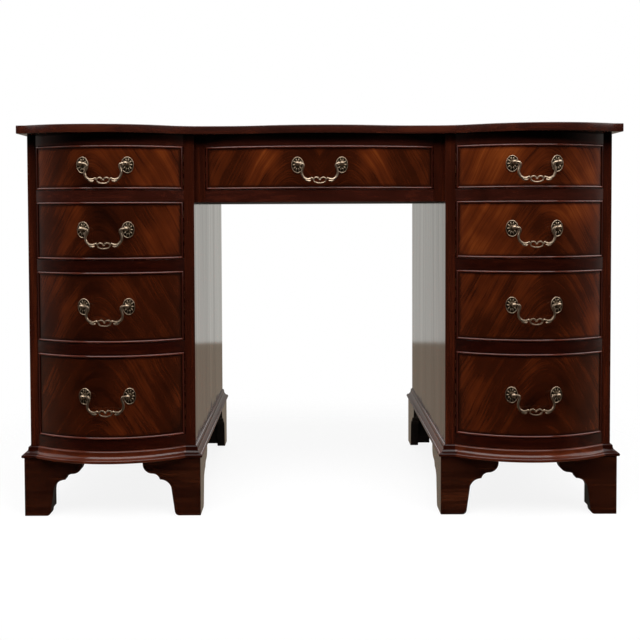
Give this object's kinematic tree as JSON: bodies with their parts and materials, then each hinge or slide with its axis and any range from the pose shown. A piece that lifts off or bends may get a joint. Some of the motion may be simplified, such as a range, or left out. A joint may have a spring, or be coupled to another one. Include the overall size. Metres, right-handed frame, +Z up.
{
  "type": "kneehole desk",
  "caption": "Pedestal kneehole desk with a serpentine top, bow-fronted graduated drawers, cock beading, swan-neck bail handles, coved base moulding and bracket feet.",
  "frame": {"origin": "on the floor, under the middle of the desk's width and of its whole depth", "axes": "+X to the right of someone facing the drawers, -Y out of the drawer fronts, +Z up"},
  "size_m": [1.215, 0.6124, 0.792],
  "materials": {
    "flame_mahogany": "flame figured veneer under high-gloss lacquer",
    "polished_mahogany": "dark stained, high-gloss lacquer",
    "drawer_lining": "waxed, satin",
    "carcass_timber": "bare, planed",
    "antique_brass": "cast, darkened in the hollows and rubbed bright on the high spots",
    "leather": "hide skiver with a gilt line"
  },
  "bodies": {
    "desk": {"desk_top": "polished_mahogany", "leather_writing_surface": "leather", "kneehole_frieze": "polished_mahogany", "kneehole_back_rail": "polished_mahogany", "kneehole_dust_board": "carcass_timber", "centre_drawer_runners": "carcass_timber", "left_pedestal_outer_side": "polished_mahogany", "left_pedestal_inner_side": "polished_mahogany", "left_pedestal_back": "polished_mahogany", "left_pedestal_stiles": "polished_mahogany", "left_pedestal_rails": "polished_mahogany", "left_pedestal_bottom": "carcass_timber", "left_pedestal_runners": "carcass_timber", "left_base_moulding": "polished_mahogany", "left_bracket_feet": "polished_mahogany", "right_pedestal_outer_side": "polished_mahogany", "right_pedestal_inner_side": "polished_mahogany", "right_pedestal_back": "polished_mahogany", "right_pedestal_stiles": "polished_mahogany", "right_pedestal_rails": "polished_mahogany", "right_pedestal_bottom": "carcass_timber", "right_pedestal_runners": "carcass_timber", "right_base_moulding": "polished_mahogany", "right_bracket_feet": "polished_mahogany"},
    "left_drawer_1": {"left_drawer_1_front": "flame_mahogany", "left_drawer_1_box": "drawer_lining", "left_drawer_1_rosettes": "antique_brass"},
    "left_drawer_1_bail": {"left_drawer_1_bail": "antique_brass"},
    "left_drawer_2": {"left_drawer_2_front": "flame_mahogany", "left_drawer_2_box": "drawer_lining", "left_drawer_2_rosettes": "antique_brass"},
    "left_drawer_2_bail": {"left_drawer_2_bail": "antique_brass"},
    "left_drawer_3": {"left_drawer_3_front": "flame_mahogany", "left_drawer_3_box": "drawer_lining", "left_drawer_3_rosettes": "antique_brass"},
    "left_drawer_3_bail": {"left_drawer_3_bail": "antique_brass"},
    "left_drawer_4": {"left_drawer_4_front": "flame_mahogany", "left_drawer_4_box": "drawer_lining", "left_drawer_4_rosettes": "antique_brass"},
    "left_drawer_4_bail": {"left_drawer_4_bail": "antique_brass"},
    "right_drawer_1": {"right_drawer_1_front": "flame_mahogany", "right_drawer_1_box": "drawer_lining", "right_drawer_1_rosettes": "antique_brass"},
    "right_drawer_1_bail": {"right_drawer_1_bail": "antique_brass"},
    "right_drawer_2": {"right_drawer_2_front": "flame_mahogany", "right_drawer_2_box": "drawer_lining", "right_drawer_2_rosettes": "antique_brass"},
    "right_drawer_2_bail": {"right_drawer_2_bail": "antique_brass"},
    "right_drawer_3": {"right_drawer_3_front": "flame_mahogany", "right_drawer_3_box": "drawer_lining", "right_drawer_3_rosettes": "antique_brass"},
    "right_drawer_3_bail": {"right_drawer_3_bail": "antique_brass"},
    "right_drawer_4": {"right_drawer_4_front": "flame_mahogany", "right_drawer_4_box": "drawer_lining", "right_drawer_4_rosettes": "antique_brass"},
    "right_drawer_4_bail": {"right_drawer_4_bail": "antique_brass"},
    "centre_drawer": {"centre_drawer_front": "flame_mahogany", "centre_drawer_box": "drawer_lining", "centre_drawer_rosettes": "antique_brass"},
    "centre_drawer_bail": {"centre_drawer_bail": "antique_brass"}
  },
  "joints": [
    {"name": "left_drawer_1_slide", "type": "slide", "parent": "desk", "child": "left_drawer_1", "axis": [0, -1, 0], "range_m": [0, 0.34]},
    {"name": "left_drawer_1_bail_swing", "type": "hinge", "parent": "left_drawer_1", "child": "left_drawer_1_bail", "pos_m": [-0.4255, -0.30123, 0.7145], "axis": [-1, 0, 0], "range_deg": [-8, 95]},
    {"name": "left_drawer_2_slide", "type": "slide", "parent": "desk", "child": "left_drawer_2", "axis": [0, -1, 0], "range_m": [0, 0.34]},
    {"name": "left_drawer_2_bail_swing", "type": "hinge", "parent": "left_drawer_2", "child": "left_drawer_2_bail", "pos_m": [-0.4255, -0.30123, 0.586], "axis": [-1, 0, 0], "range_deg": [-8, 95]},
    {"name": "left_drawer_3_slide", "type": "slide", "parent": "desk", "child": "left_drawer_3", "axis": [0, -1, 0], "range_m": [0, 0.34]},
    {"name": "left_drawer_3_bail_swing", "type": "hinge", "parent": "left_drawer_3", "child": "left_drawer_3_bail", "pos_m": [-0.4255, -0.30123, 0.43325], "axis": [-1, 0, 0], "range_deg": [-8, 95]},
    {"name": "left_drawer_4_slide", "type": "slide", "parent": "desk", "child": "left_drawer_4", "axis": [0, -1, 0], "range_m": [0, 0.34]},
    {"name": "left_drawer_4_bail_swing", "type": "hinge", "parent": "left_drawer_4", "child": "left_drawer_4_bail", "pos_m": [-0.4255, -0.30123, 0.25385], "axis": [-1, 0, 0], "range_deg": [-8, 95]},
    {"name": "right_drawer_1_slide", "type": "slide", "parent": "desk", "child": "right_drawer_1", "axis": [0, -1, 0], "range_m": [0, 0.34]},
    {"name": "right_drawer_1_bail_swing", "type": "hinge", "parent": "right_drawer_1", "child": "right_drawer_1_bail", "pos_m": [0.4255, -0.30123, 0.7145], "axis": [-1, 0, 0], "range_deg": [-8, 95]},
    {"name": "right_drawer_2_slide", "type": "slide", "parent": "desk", "child": "right_drawer_2", "axis": [0, -1, 0], "range_m": [0, 0.34]},
    {"name": "right_drawer_2_bail_swing", "type": "hinge", "parent": "right_drawer_2", "child": "right_drawer_2_bail", "pos_m": [0.4255, -0.30123, 0.586], "axis": [-1, 0, 0], "range_deg": [-8, 95]},
    {"name": "right_drawer_3_slide", "type": "slide", "parent": "desk", "child": "right_drawer_3", "axis": [0, -1, 0], "range_m": [0, 0.34]},
    {"name": "right_drawer_3_bail_swing", "type": "hinge", "parent": "right_drawer_3", "child": "right_drawer_3_bail", "pos_m": [0.4255, -0.30123, 0.43325], "axis": [-1, 0, 0], "range_deg": [-8, 95]},
    {"name": "right_drawer_4_slide", "type": "slide", "parent": "desk", "child": "right_drawer_4", "axis": [0, -1, 0], "range_m": [0, 0.34]},
    {"name": "right_drawer_4_bail_swing", "type": "hinge", "parent": "right_drawer_4", "child": "right_drawer_4_bail", "pos_m": [0.4255, -0.30123, 0.25385], "axis": [-1, 0, 0], "range_deg": [-8, 95]},
    {"name": "centre_drawer_slide", "type": "slide", "parent": "desk", "child": "centre_drawer", "axis": [0, -1, 0], "range_m": [0, 0.34]},
    {"name": "centre_drawer_bail_swing", "type": "hinge", "parent": "centre_drawer", "child": "centre_drawer_bail", "pos_m": [0, -0.2755, 0.7145], "axis": [-1, 0, 0], "range_deg": [-8, 95]}
  ]
}
